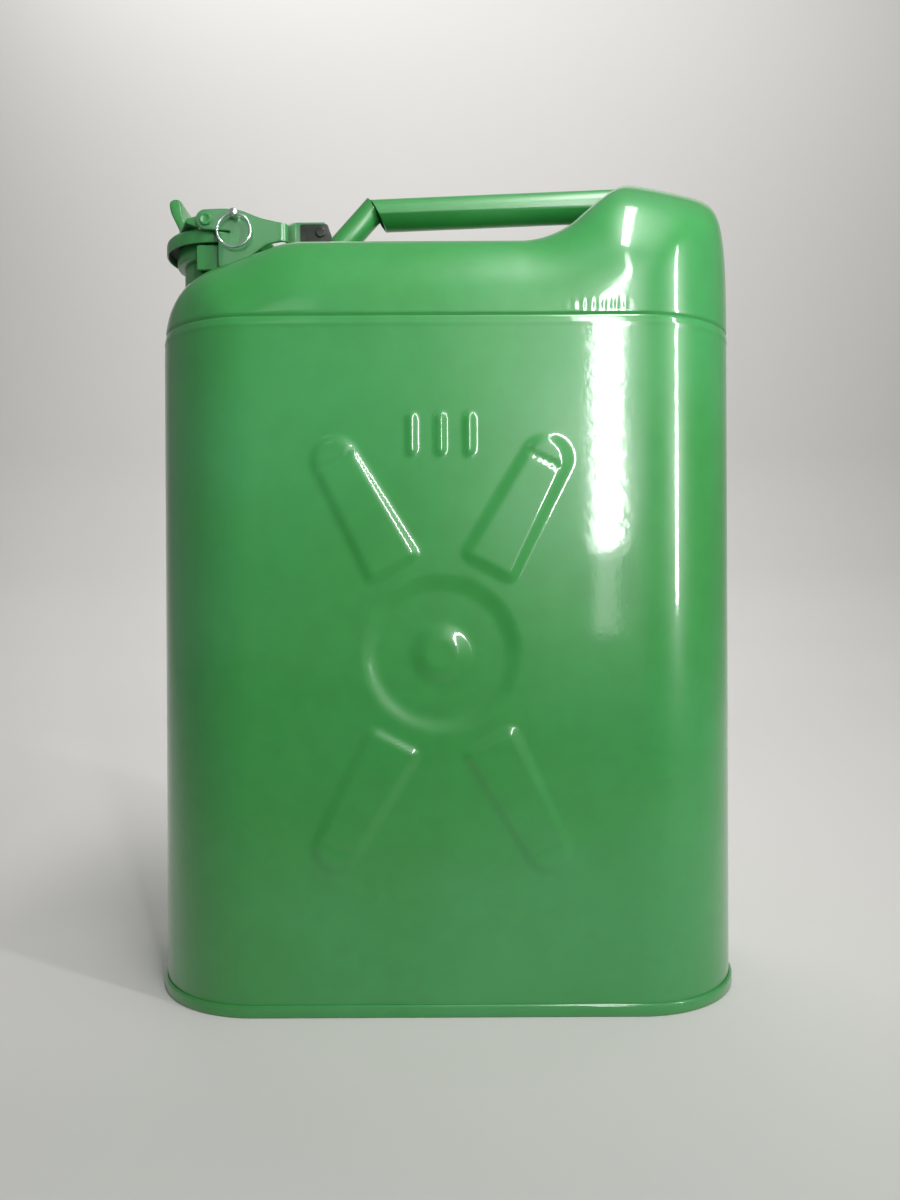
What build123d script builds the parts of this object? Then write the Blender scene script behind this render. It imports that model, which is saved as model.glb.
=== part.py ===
"""A 20 litre pressed steel jerry can with a lever closure, in millimetres.

+Z is up, +X points from the closure towards the air hump, and -Y is the front face.
The origin is on the ground under the middle of the can's body.
"""
import math
import os

from build123d import *

# How far a cutting shape runs past what it cuts, a little or right through
past = 10.0
right_through = 200.0
touching = 0.01

# Can body
body_width = 345.0
body_depth = 165.0
plan_radius = 65.0
sheet = 1.0
seam_z = 389.4
rim_height = 7.0
rim_proud = 1.4
floor_z = 6.0
joggle = 8.0
seam_groove = 0.8
outside_low_z = -20.0
inside_low_z = -30.0

# Top pressing, as its outline from the closure end to the hump end
edge_radius = 30.0
top_z = 440.0
hump_z = 489.8
shoulder_radius = 58.5
shoulder_slope = 20.0
shoulder_z = 369.5
knee_radius = 60.0
hump_slope = 42.0
foot_radius = 50.0
brow_radius = 6.0
crown_radius = 44.0
crown_turn = 32.0
corner_radius = 46.0
flank_lean = 14.0
flank_radius = 309.0
flank_over = 0.4
crown_across = 84.0
shoulder_across = 80.0
arch_fall = 11.5
arch_crest_x = 110.0

# Embossed star on both faces
star_x = -3.0
star_z = 201.0
star_relief = 2.0
star_taper = 45.0
arm_angle = 61.5
arm_start = 54.0
arm_length = 82.0
arm_inner_width = 30.0
arm_outer_width = 22.0
dish_radius = 38.0
boss_radius = 16.0
bar_z = 323.0
bar_size = (6.0, 24.0)
bar_pitch = 16.0
bar_relief = 1.5
bar_taper = 30.0

# Carrying handle
grip_radius = 10.0
grip_wall = 1.5
grip_slope = 2.16
grip_axis = (-47.0, 477.2)
grip_end = (95.0, 466.5)
grip_end_angle = 42.0
post_radius = 8.0
post_wall = 1.5
post_slope = 48.0
post_axis = (-66.16, 458.45)
mitre_angle = 28.5
mitre_point = (-48.8, 488.0)
mitre_gap = 0.3

# Filler neck
neck_x = -142.0
neck_radius = 24.0
bore_radius = 22.8
neck_foot_z = 392.0
mouth_radius = 28.5
mouth_foot_z = 441.0
mouth_z = 452.0
mouth_seat = 5.0
mouth_top_edge = 1.8
mouth_foot_edge = 1.0
lug_y = 33.0
lug_sheet = 2.0
lug_left = -150.6
lug_right = -118.0
lug_z = (432.0, 447.0)
stud = (-125.5, 443.0)
stud_radius = 3.0
stud_spigot = 2.0
stud_tip_y = 37.0

# Breather tube, from the neck to the air pocket under the hump
breather_radius = 4.5
breather_wall = 0.8
breather_z = 404.0
breather_route = [
    (-119.0, 404.0), (-104.0, 404.0), (-80.0, 434.3), (64.0, 434.3), (104.0, 457.0), (122.0, 461.5)
]
breather_bends = [24.0, 24.0, 40.0, 40.0]

# Closure
lid_radius = 35.0
lid_wall = 1.2
lid_skirt_z = 448.0
lid_top_z = 457.0
lid_edge = 2.5
lid_ear_y = 32.3
lid_ear_sheet = 1.6
lid_ear_radius = 5.0
gasket_bore = 20.0
gasket_gap = 0.2
hinge = (-78.2, 462.1)
hinge_radius = 2.0
trunnion = (-143.6, 460.2)
trunnion_radius = 2.5
catch = (-125.9, 462.2)
catch_radius = 1.5
running = 0.05
cheek_y = 37.3
cheek_sheet = 2.0
prong_radius = 6.0
brow_points = [(-131.0, 466.5), (-121.0, 465.1), (-110.5, 460.8)]
belly_points = [(-107.5, 444.2), (-117.0, 437.2), (-127.5, 430.6)]
keel_points = [(-134.6, 430.9), (-136.0, 432.5), (-136.0, 453.0), (-129.0, 451.7), (-129.0, 453.0)]
bridge_x = -96.5
bridge_z = (446.6, 457.6)
bridge_mid_z = (452.0, 469.5)
arm_y = 10.7
arm_outline = [
    (-95.5, 455.5), (-95.5, 469.5), (-76.0, 469.5), (-73.4, 467.0), (-73.4, 459.5), (-76.0, 457.0),
    (-88.0, 455.5)
]
rivet_head_radius = 3.9
rivet_head = 1.2
lever_y = 35.4
lever_sheet = 1.6
lever_outline = [
    (-156.0, 459.0), (-156.0, 461.4), (-150.0, 462.8), (-146.8, 464.4), (-143.6, 465.0), (-123.5, 465.0),
    (-121.8, 463.5), (-121.8, 460.2), (-127.2, 456.6), (-128.9, 452.0), (-128.9, 440.5), (-127.6, 439.4),
    (-121.6, 439.4), (-120.6, 438.4), (-120.6, 436.6), (-121.4, 435.8), (-131.5, 435.8), (-134.6, 438.5),
    (-135.2, 449.0), (-138.0, 454.6), (-143.6, 455.4), (-150.0, 456.6)
]
web_x = (-167.0, -156.0, -151.0)
web_z = 459.4
web_sheet = 2.0
tab_half_width = 14.0
tab_outline = [
    (-160.0, 459.4), (-158.0, 461.4), (-162.0, 467.0), (-164.2, 473.0), (-165.2, 479.0), (-172.8, 479.0),
    (-171.5, 473.5), (-169.0, 468.0), (-166.6, 463.0), (-166.0, 459.4)
]
tab_roll = (-169.0, 479.0)
tab_roll_radius = 3.8
ear_y = 11.0
ear_sheet = 2.0
ear_outline = [(-91.0, 436.0), (-91.0, 467.5), (-74.0, 467.5), (-71.0, 459.5), (-71.0, 436.0)]
ear_foot_reach = 9.0
pin_head_radius = 3.2
pin_head = 1.3
head_edge = 0.8
pull_head_radius = 2.6
pull_head = 6.0
pull_head_edge = 1.0
pull_gap = 0.2
pull_tip_y = 34.0
ring_y = 42.6
ring_hole = 1.3
ring_radius = 10.0
ring_wire = 0.75


def sine(angle):
    return math.sin(math.radians(angle))


def cosine(angle):
    return math.cos(math.radians(angle))


def save(name, part):
    part.label = name
    export_step(part, f"parts/{name}.step")


def side_plane(y):
    """An upright plane at y whose local axes are X and Z, and whose normal is -Y."""
    return Plane(origin=(0, y, 0), x_dir=(1, 0, 0), z_dir=(0, -1, 0))


os.makedirs("parts", exist_ok=True)

half_width = body_width / 2
half_depth = body_depth / 2

ramp_z = shoulder_z + shoulder_radius * cosine(shoulder_slope)
ramp = (top_z - ramp_z - knee_radius * (1 - cosine(shoulder_slope))) / sine(shoulder_slope)
climb = (hump_z - top_z - (foot_radius + brow_radius) * (1 - cosine(hump_slope))) / sine(hump_slope)
hump_run = (foot_radius + brow_radius) * sine(hump_slope)
hump_run += climb * cosine(hump_slope)
hump_run += crown_radius * sine(crown_turn)
hump_run += corner_radius * (cosine(flank_lean) - sine(crown_turn))
hump_run += flank_radius * (1 - cosine(flank_lean))

# The arch over the hump, seen from the side: a crown between two shoulders. It falls towards
# the hump's end, so it is drawn on a plane square to that fall, through the crest.
arch_lean = math.degrees(math.asin((half_depth - shoulder_across) / (crown_across - shoulder_across)))
arch_foot = (crown_across - shoulder_across) * cosine(arch_lean) - crown_across
arch_plane = Plane(
    origin=(arch_crest_x, 0, hump_z), x_dir=(0, 1, 0), z_dir=(cosine(arch_fall), 0, -sine(arch_fall))
)


# Can: one closed form for the outside and one, smaller by the sheet, for the inside.
# The pressings are the space between them, cut apart at the seam.
def can_form(inset, bottom_z, embossed=True):
    """The can's outer form when inset is 0, and the form that much smaller all round otherwise."""
    depth = half_depth - inset
    with BuildPart() as form:
        with BuildSketch(Plane.XZ.offset(-depth)):
            with BuildLine():
                wall = Line((-half_width, bottom_z), (-half_width, shoulder_z))
                shoulder = JernArc(wall @ 1, wall % 1, shoulder_radius, shoulder_slope - 90)
                rise = PolarLine(shoulder @ 1, ramp, direction=shoulder % 1)
                knee = JernArc(rise @ 1, rise % 1, knee_radius, -shoulder_slope)
                flat = Line(knee @ 1, (half_width + flank_over - hump_run, top_z))
                foot = JernArc(flat @ 1, (1, 0), foot_radius, hump_slope)
                slope = PolarLine(foot @ 1, climb, direction=foot % 1)
                brow = JernArc(slope @ 1, slope % 1, brow_radius, -hump_slope)
                crown = JernArc(brow @ 1, (1, 0), crown_radius, -crown_turn)
                corner = JernArc(crown @ 1, crown % 1, corner_radius, crown_turn + flank_lean - 90)
                flank = JernArc(corner @ 1, corner % 1, flank_radius, -flank_lean)
                end = Line(flank @ 1, (half_width + flank_over, bottom_z))
                Line(end @ 1, wall @ 0)
            make_face()
            if inset:
                offset(amount=-inset, kind=Kind.INTERSECTION)
        extrude(amount=2 * depth)
        upper = form.edges().filter_by(lambda edge: edge.bounding_box().min.Z > shoulder_z - past)
        fillet(upper.filter_by(lambda edge: abs(edge.center().Y) > depth - touching), edge_radius - inset)
        with BuildSketch(arch_plane.offset(-2 * body_width)):
            with BuildLine():
                front_wall = Line((-half_depth, -4 * hump_z), (-half_depth, arch_foot))
                front_bend = JernArc(front_wall @ 1, front_wall % 1, shoulder_across, arch_lean - 90)
                over = JernArc(front_bend @ 1, front_bend % 1, crown_across, -2 * arch_lean)
                back_bend = JernArc(over @ 1, over % 1, shoulder_across, arch_lean - 90)
                back_wall = Line(back_bend @ 1, (half_depth, -4 * hump_z))
                Line(back_wall @ 1, front_wall @ 0)
            make_face()
            if inset:
                offset(amount=-inset, kind=Kind.INTERSECTION)
        extrude(amount=4 * body_width, mode=Mode.INTERSECT)
        with BuildSketch(Plane.XY.offset(bottom_z - past)):
            RectangleRounded(body_width - 2 * inset, body_depth - 2 * inset, plan_radius - inset)
        extrude(amount=hump_z - bottom_z + 2 * past, mode=Mode.INTERSECT)
        for facing in (-1, 1) if embossed else ():
            centre = (star_x, facing * depth, star_z)
            face = Plane(origin=centre, x_dir=(-facing, 0, 0), z_dir=(0, facing, 0))
            with BuildSketch(face):
                for angle in (arm_angle, 180 - arm_angle, 180 + arm_angle, -arm_angle):
                    bend = arm_start + arm_length - arm_outer_width / 2
                    inner = arm_inner_width / 2 - inset
                    outer = arm_outer_width / 2 - inset
                    root_right = Vector(arm_start + inset, -inner).rotate(Axis.Z, angle)
                    bend_right = Vector(bend, -outer).rotate(Axis.Z, angle)
                    tip = Vector(bend + outer, 0).rotate(Axis.Z, angle)
                    bend_left = Vector(bend, outer).rotate(Axis.Z, angle)
                    root_left = Vector(arm_start + inset, inner).rotate(Axis.Z, angle)
                    with BuildLine():
                        Line(root_right, bend_right)
                        ThreePointArc(bend_right, tip, bend_left)
                        Line(bend_left, root_left)
                        Line(root_left, root_right)
                    make_face()
            extrude(amount=star_relief, taper=star_taper)
            with BuildSketch(face):
                with Locations(*[(bar_pitch * step, bar_z - star_z) for step in (-1, 0, 1)]):
                    bar_width = bar_size[0] - inset
                    RectangleRounded(bar_width, bar_size[1] - inset, bar_width / 2 - touching)
            extrude(amount=bar_relief, taper=bar_taper)
            with BuildSketch(face):
                Circle(dish_radius + inset)
            extrude(amount=-star_relief, taper=star_taper, mode=Mode.SUBTRACT)
            with BuildSketch(face.offset(-star_relief)):
                Circle(boss_radius - inset)
            extrude(amount=star_relief, taper=star_taper)
    return form.part


outside = can_form(0, outside_low_z)
inside = can_form(sheet, inside_low_z)
clear_of_can = can_form(0, outside_low_z, embossed=False)

# Sleeve: the wrapped and welded body wall
with BuildPart() as body_sleeve:
    add(outside)
    add(inside, mode=Mode.SUBTRACT)
    split(bisect_by=Plane.XY.offset(seam_z - seam_groove / 2), keep=Keep.BOTTOM)
    split(bisect_by=Plane.XY.offset(sheet), keep=Keep.TOP)
save("body_sleeve", body_sleeve.part)

# Top pressing, with a joggled skirt that slips inside the sleeve
skirt_top = seam_z + 3 * sheet
with BuildPart() as skirt:
    add(can_form(sheet, outside_low_z, embossed=False))
    add(can_form(2 * sheet, inside_low_z, embossed=False), mode=Mode.SUBTRACT)
    split(bisect_by=Plane.XY.offset(skirt_top), keep=Keep.BOTTOM)
    split(bisect_by=Plane.XY.offset(seam_z - joggle), keep=Keep.TOP)

with BuildPart() as top_pan:
    add(outside)
    add(inside, mode=Mode.SUBTRACT)
    split(bisect_by=Plane.XY.offset(seam_z + seam_groove / 2), keep=Keep.TOP)
    add(skirt.part)
    with BuildSketch(Plane.XY.offset(neck_foot_z)):
        with Locations((neck_x, 0)):
            Circle(neck_radius)
    extrude(amount=right_through, mode=Mode.SUBTRACT)
save("top_pan", top_pan.part)

# Bottom pressing: a raised floor and a rim folded round the sleeve's lower edge
with BuildPart() as bottom_pan:
    with BuildSketch():
        RectangleRounded(body_width + 2 * rim_proud, body_depth + 2 * rim_proud, plan_radius + rim_proud)
    extrude(amount=rim_height)
    fillet(bottom_pan.edges().group_by(Axis.Z)[-1], rim_proud / 2)
    fillet(bottom_pan.edges().group_by(Axis.Z)[0], rim_proud / 2)
    with BuildSketch():
        RectangleRounded(body_width - 4 * sheet, body_depth - 4 * sheet, plan_radius - 2 * sheet)
    extrude(amount=floor_z, mode=Mode.SUBTRACT)
    with BuildSketch(Plane.XY.offset(sheet)):
        RectangleRounded(body_width, body_depth, plan_radius)
        RectangleRounded(
            body_width - 2 * sheet, body_depth - 2 * sheet, plan_radius - sheet, mode=Mode.SUBTRACT
        )
    extrude(amount=rim_height, mode=Mode.SUBTRACT)
save("bottom_pan", bottom_pan.part)

# Handle: a rolled grip welded to the hump and closed at that end, and a slanted post under its other end
grip_direction = Vector(cosine(grip_slope), 0, sine(grip_slope))
mitre_normal = Vector(cosine(mitre_angle), 0, sine(mitre_angle))
mitre = Plane(origin=(mitre_point[0], 0, mitre_point[1]), x_dir=(0, 1, 0), z_dir=mitre_normal)
grip_cut = Plane(
    origin=(grip_end[0], 0, grip_end[1]),
    x_dir=(0, 1, 0),
    z_dir=(sine(grip_end_angle), 0, -cosine(grip_end_angle)),
)
grip_start = Plane(origin=(grip_axis[0], 0, grip_axis[1]), z_dir=grip_direction).offset(-2 * past)
with BuildPart() as grip_cap:
    with BuildSketch(grip_start):
        Circle(grip_radius)
    extrude(amount=right_through)
    split(bisect_by=grip_cut, keep=Keep.BOTTOM)
    split(bisect_by=grip_cut.offset(-grip_wall), keep=Keep.TOP)

with BuildPart() as handle_grip:
    with BuildSketch(grip_start):
        Circle(grip_radius)
        Circle(grip_radius - grip_wall, mode=Mode.SUBTRACT)
    extrude(amount=right_through)
    split(bisect_by=mitre, keep=Keep.TOP)
    split(bisect_by=grip_cut, keep=Keep.BOTTOM)
    add(grip_cap.part)
    add(clear_of_can, mode=Mode.SUBTRACT)
save("handle_grip", handle_grip.part.solids().sort_by(SortBy.VOLUME)[-1])

post_direction = Vector(cosine(post_slope), 0, sine(post_slope))
with BuildPart() as handle_post:
    with BuildSketch(Plane(origin=(post_axis[0], 0, post_axis[1]), z_dir=post_direction).offset(-4 * past)):
        Circle(post_radius)
        Circle(post_radius - post_wall, mode=Mode.SUBTRACT)
    extrude(amount=right_through)
    split(bisect_by=mitre.offset(-mitre_gap), keep=Keep.BOTTOM)
    add(clear_of_can, mode=Mode.SUBTRACT)
save("handle_post", handle_post.part.solids().sort_by(Axis.Z)[-1])

# Filler neck and its mouth
with BuildPart() as filler_neck:
    with BuildSketch(Plane.XY.offset(neck_foot_z)):
        with Locations((neck_x, 0)):
            Circle(neck_radius)
            Circle(bore_radius, mode=Mode.SUBTRACT)
    extrude(amount=mouth_foot_z + mouth_seat - neck_foot_z)
    with BuildSketch(Plane.YZ.offset(neck_x)):
        with Locations((0, breather_z)):
            Circle(breather_radius)
    extrude(amount=neck_radius + past, mode=Mode.SUBTRACT)
save("filler_neck", filler_neck.part)

with BuildPart() as mouth_ring:
    with BuildSketch(Plane.XY.offset(mouth_foot_z)):
        with Locations((neck_x, 0)):
            Circle(mouth_radius)
            Circle(bore_radius, mode=Mode.SUBTRACT)
    extrude(amount=mouth_z - mouth_foot_z)
    fillet(mouth_ring.edges().group_by(Axis.Z)[-1], mouth_top_edge)
    fillet(mouth_ring.edges().group_by(Axis.Z)[0].sort_by(SortBy.LENGTH)[-1], mouth_foot_edge)
    with BuildSketch(Plane.XY.offset(mouth_foot_z)):
        with Locations((neck_x, 0)):
            Circle(neck_radius)
    extrude(amount=mouth_seat, mode=Mode.SUBTRACT)
save("mouth_ring", mouth_ring.part)

# Lugs beside the neck, each with a stud for the lever's hook
for side, name in ((-1, "front"), (1, "back")):
    with BuildPart() as lug:
        with BuildSketch(Plane.XY.offset(lug_z[0])):
            with Locations(((lug_left + lug_right) / 2, side * (lug_y - lug_sheet / 2))):
                Rectangle(lug_right - lug_left, lug_sheet)
            for leg_x in (lug_left, 2 * neck_x - lug_left - lug_sheet):
                with Locations((leg_x + lug_sheet / 2, side * lug_y / 2)):
                    Rectangle(lug_sheet, lug_y)
        extrude(amount=lug_z[1] - lug_z[0])
        with BuildSketch(Plane.XY):
            with Locations((neck_x, 0)):
                Circle(neck_radius)
        extrude(amount=mouth_foot_z, mode=Mode.SUBTRACT)
        with BuildSketch(Plane.XY.offset(mouth_foot_z)):
            with Locations((neck_x, 0)):
                Circle(mouth_radius)
        extrude(amount=2 * past, mode=Mode.SUBTRACT)
        with BuildSketch(side_plane(0)):
            with Locations(stud):
                Circle(stud_spigot)
        extrude(amount=-side * 2 * lug_y, mode=Mode.SUBTRACT)
    save(f"neck_lug_{name}", lug.part)

    with BuildPart() as lug_stud:
        with BuildSketch(side_plane(side * (lug_y - lug_sheet))):
            with Locations(stud):
                Circle(stud_spigot)
        extrude(amount=-side * lug_sheet)
        with BuildSketch(side_plane(side * lug_y)):
            with Locations(stud):
                Circle(stud_radius)
        extrude(amount=-side * (stud_tip_y - lug_y))
    save(f"lug_stud_{name}", lug_stud.part)

# Breather tube
with BuildPart() as breather_tube:
    with BuildLine(Plane.XZ) as route:
        FilletPolyline(*breather_route, radius=breather_bends)
    with BuildSketch(Plane(origin=route.line @ 0, z_dir=route.line % 0)):
        Circle(breather_radius)
        Circle(breather_radius - breather_wall, mode=Mode.SUBTRACT)
    sweep()
save("breather_tube", breather_tube.part)

# Lid with two ears that hang it on the trunnion rivets
with BuildPart() as lid:
    with BuildSketch(Plane.XY.offset(lid_skirt_z)):
        with Locations((neck_x, 0)):
            Circle(lid_radius)
    extrude(amount=lid_top_z - lid_skirt_z)
    fillet(lid.edges().group_by(Axis.Z)[-1], lid_edge)
    with BuildSketch(Plane.XY.offset(lid_skirt_z)):
        with Locations((neck_x, 0)):
            Circle(lid_radius - lid_wall)
    extrude(amount=lid_top_z - lid_skirt_z - lid_wall, mode=Mode.SUBTRACT)
    for side in (-1, 1):
        with BuildSketch(side_plane(side * (lid_ear_y - lid_ear_sheet))):
            with Locations(trunnion):
                Circle(lid_ear_radius)
            with Locations((trunnion[0], (trunnion[1] + lid_top_z - lid_wall / 2) / 2)):
                Rectangle(2 * lid_ear_radius, trunnion[1] - lid_top_z + lid_wall / 2)
            with Locations((trunnion[0], lid_top_z - lid_wall / 2 - past)):
                Rectangle(4 * lid_ear_radius, 2 * past, mode=Mode.SUBTRACT)
            with Locations(trunnion):
                Circle(trunnion_radius, mode=Mode.SUBTRACT)
        extrude(amount=-side * lid_ear_sheet)
save("lid", lid.part)

with BuildPart() as lid_gasket:
    with BuildSketch(Plane.XY.offset(mouth_z + gasket_gap)):
        with Locations((neck_x, 0)):
            Circle(lid_radius - lid_wall)
            Circle(gasket_bore, mode=Mode.SUBTRACT)
    extrude(amount=lid_top_z - lid_wall - mouth_z - gasket_gap)
save("lid_gasket", lid_gasket.part)

# Hinge on the can's top: two ears either side of the post, and their pin
for side, name in ((-1, "front"), (1, "back")):
    with BuildPart() as hinge_ear:
        with BuildSketch(side_plane(side * ear_y)):
            with BuildLine():
                Polyline(*ear_outline, close=True)
            make_face()
            with Locations(hinge):
                Circle(hinge_radius, mode=Mode.SUBTRACT)
        extrude(amount=-side * ear_sheet)
        with BuildSketch(side_plane(side * ear_y)):
            with Locations(((ear_outline[0][0] + ear_outline[-1][0]) / 2, top_z)):
                Rectangle(ear_outline[-1][0] - ear_outline[0][0], 2 * ear_sheet)
        extrude(amount=-side * ear_foot_reach)
        add(clear_of_can, mode=Mode.SUBTRACT)
    save(f"hinge_ear_{name}", hinge_ear.part)

with BuildPart() as hinge_pin:
    with BuildSketch(side_plane(-ear_y - ear_sheet)):
        with Locations(hinge):
            Circle(hinge_radius)
    extrude(amount=-2 * (ear_y + ear_sheet))
    for side in (-1, 1):
        with BuildSketch(side_plane(side * (ear_y + ear_sheet))):
            with Locations(hinge):
                Circle(pin_head_radius)
        extrude(amount=-side * pin_head)
    fillet(hinge_pin.edges().group_by(Axis.Y)[0], head_edge)
    fillet(hinge_pin.edges().group_by(Axis.Y)[-1], head_edge)
save("hinge_pin", hinge_pin.part)

# Closure yoke: two cheeks, the bridge behind the lid, and two arms to the hinge
with BuildPart() as closure_yoke:
    for side in (-1, 1):
        with BuildSketch(side_plane(side * cheek_y)):
            with BuildLine():
                top = Line((trunnion[0], trunnion[1] + prong_radius), brow_points[0])
                brow_end = (bridge_x, bridge_z[1])
                brow = Spline(*brow_points, brow_end, tangents=(top % 1, (1, -0.15)))
                back_x = bridge_x + cheek_sheet
                back_top = (back_x, bridge_z[1])
                back = Polyline(brow @ 1, back_top, (back_x, bridge_z[0]), (bridge_x, bridge_z[0]))
                belly = Spline(back @ 1, *belly_points, tangents=((-1, 0), (-1, -0.15)))
                keel = Polyline(belly @ 1, *keel_points)
                prong = Line(keel @ 1, (trunnion[0], trunnion[1] - prong_radius))
                ThreePointArc(prong @ 1, (trunnion[0] - prong_radius, trunnion[1]), top @ 0)
            make_face()
            with Locations(trunnion):
                Circle(trunnion_radius, mode=Mode.SUBTRACT)
            if side < 0:
                with Locations(catch):
                    Circle(catch_radius + running, mode=Mode.SUBTRACT)
        extrude(amount=-side * cheek_sheet)
        with BuildSketch(side_plane(side * (arm_y - cheek_sheet))):
            with BuildLine():
                Polyline(*arm_outline, close=True)
            make_face()
            with Locations(hinge):
                Circle(hinge_radius + running, mode=Mode.SUBTRACT)
        extrude(amount=-side * cheek_sheet)
    cheek_out = cheek_y + cheek_sheet
    with BuildSketch(Plane.YZ.offset(bridge_x)):
        with BuildLine():
            Polyline(
                (-cheek_out, bridge_z[0]), (-cheek_out, bridge_z[1]),
                (-arm_y, bridge_mid_z[1]), (arm_y, bridge_mid_z[1]),
                (cheek_out, bridge_z[1]), (cheek_out, bridge_z[0]),
                (arm_y, bridge_mid_z[0]), (-arm_y, bridge_mid_z[0]), close=True
            )
        make_face()
    extrude(amount=cheek_sheet)
    corners = closure_yoke.edges().filter_by(Axis.Z)
    bends = corners.filter_by(lambda edge: abs(abs(edge.center().Y) - cheek_out) < touching)
    fillet(bends.filter_by(lambda edge: edge.center().X > bridge_x + 1), 0.75 * cheek_sheet)
save("closure_yoke", closure_yoke.part)

for side, name in ((-1, "front"), (1, "back")):
    with BuildPart() as rivet:
        with BuildSketch(side_plane(side * (lid_ear_y - lid_ear_sheet))):
            with Locations(trunnion):
                Circle(trunnion_radius)
        extrude(amount=-side * (cheek_out + rivet_head - lid_ear_y + lid_ear_sheet))
        with BuildSketch(side_plane(side * cheek_out)):
            with Locations(trunnion):
                Circle(rivet_head_radius)
        extrude(amount=-side * rivet_head)
        fillet(rivet.edges().sort_by(Axis.Y)[0 if side < 0 else -1], head_edge)
    save(f"trunnion_rivet_{name}", rivet.part)

# Cam lever: a thumb tab and a web over the lid, and an arm with a hook on each side
with BuildPart() as cam_lever:
    for side in (-1, 1):
        with BuildSketch(side_plane(side * lever_y)):
            with BuildLine():
                Polyline(*lever_outline, close=True)
            make_face()
            with Locations(trunnion):
                Circle(trunnion_radius + running, mode=Mode.SUBTRACT)
            if side < 0:
                with Locations(catch):
                    Circle(catch_radius + running, mode=Mode.SUBTRACT)
        extrude(amount=-side * lever_sheet)
    lever_out = lever_y + lever_sheet
    with BuildSketch(Plane.XY.offset(web_z)):
        with BuildLine():
            Polyline(
                (web_x[2], -lever_out), (web_x[1], -lever_out), (web_x[0], -tab_half_width),
                (web_x[0], tab_half_width), (web_x[1], lever_out), (web_x[2], lever_out), close=True
            )
        make_face()
    extrude(amount=web_sheet)
    with BuildSketch(side_plane(tab_half_width)):
        with BuildLine():
            Polyline(*tab_outline, close=True)
        make_face()
        with Locations(tab_roll):
            Circle(tab_roll_radius)
    extrude(amount=2 * tab_half_width)
save("cam_lever", cam_lever.part)

# Locking pin through the front cheek and the lever's arm, with a pull ring in its head
cheek_face = -(cheek_y + cheek_sheet)
with BuildPart() as locking_pin:
    with BuildSketch(side_plane(-pull_tip_y)):
        with Locations(catch):
            Circle(catch_radius)
    extrude(amount=pull_gap - pull_tip_y - cheek_face)
    with BuildSketch(side_plane(cheek_face - pull_gap)):
        with Locations(catch):
            Circle(pull_head_radius)
    extrude(amount=pull_head)
    fillet(locking_pin.edges().group_by(Axis.Y)[0], pull_head_edge)
    with BuildSketch(Plane.YZ.offset(catch[0] - past)):
        with Locations((-ring_y, catch[1])):
            Circle(ring_hole)
    extrude(amount=2 * past, mode=Mode.SUBTRACT)
save("locking_pin", locking_pin.part)

with BuildPart() as pull_ring:
    with BuildSketch(Plane.YZ.offset(catch[0])):
        with Locations((-ring_y, catch[1])):
            Circle(ring_wire)
    revolve(axis=Axis((catch[0], -ring_y, catch[1] - ring_radius), (0, 1, 0)))
save("pull_ring", pull_ring.part)
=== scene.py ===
"""A green steel jerry can: smooth pressings, closure and studio, drawn over the CAD frame."""

import math

import bmesh
import bpy
import numpy as np
from mathutils import Matrix, Vector


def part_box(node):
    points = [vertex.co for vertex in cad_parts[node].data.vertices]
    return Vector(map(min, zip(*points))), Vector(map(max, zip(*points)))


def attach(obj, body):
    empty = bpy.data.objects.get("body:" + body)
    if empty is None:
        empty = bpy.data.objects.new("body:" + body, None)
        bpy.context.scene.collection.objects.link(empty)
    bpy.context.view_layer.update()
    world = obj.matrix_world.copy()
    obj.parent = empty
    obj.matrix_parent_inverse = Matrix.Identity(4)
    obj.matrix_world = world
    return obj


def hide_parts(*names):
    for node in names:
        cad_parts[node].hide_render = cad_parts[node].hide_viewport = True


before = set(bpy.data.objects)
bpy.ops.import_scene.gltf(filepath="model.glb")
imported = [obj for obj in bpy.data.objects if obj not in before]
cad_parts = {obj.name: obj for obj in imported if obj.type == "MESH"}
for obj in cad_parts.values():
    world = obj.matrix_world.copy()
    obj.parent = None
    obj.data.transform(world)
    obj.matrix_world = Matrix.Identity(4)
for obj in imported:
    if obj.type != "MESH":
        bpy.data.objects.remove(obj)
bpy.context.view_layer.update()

MM = 0.001


def mm(node):
    """A CAD node's lowest and highest corners in millimetres."""
    low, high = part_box(node)
    return np.array(low) / MM, np.array(high) / MM


# ---------------------------------------------------------------- sizes, from the CAD model
sleeve_high = mm("body_sleeve")[1]
rim_high = mm("bottom_pan")[1]
HALF_W = sleeve_high[0]
SEAM_LOW = sleeve_high[2]
SEAM_GAP = 0.8
SEAM_HIGH = SEAM_LOW + SEAM_GAP
SEAM_LIP = 6.0
BELOW_GROUND = 50.0
INSIDE_Z = 395.0
UP = np.array([0.0, 0.0, 1.0])
SIDES = ((-1, "front"), (1, "back"))
HALF_D = 82.5
PLAN_R = 65.0
EDGE_R = 30.0
EDGE_REACH = 52.0
TOP_Z = 440.0
CREST_X, CREST_Z = 110.0, 489.8
FALL = math.radians(11.5)
CROWN_R = 84.0
SHOULDER_R = 80.0
ARCH_UP = math.sqrt((CROWN_R - SHOULDER_R) ** 2 - (HALF_D - SHOULDER_R) ** 2)
ARCH_FOOT = ARCH_UP - CROWN_R

# ---------------------------------------------------------------- helpers for meshes


def obj_from(name, verts, faces, scale=MM):
    mesh = bpy.data.meshes.new(name)
    mesh.from_pydata((np.asarray(verts, float) * scale).tolist(), [], faces)
    mesh.validate()
    mesh.update()
    obj = bpy.data.objects.new(name, mesh)
    bpy.context.scene.collection.objects.link(obj)
    return obj


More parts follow.
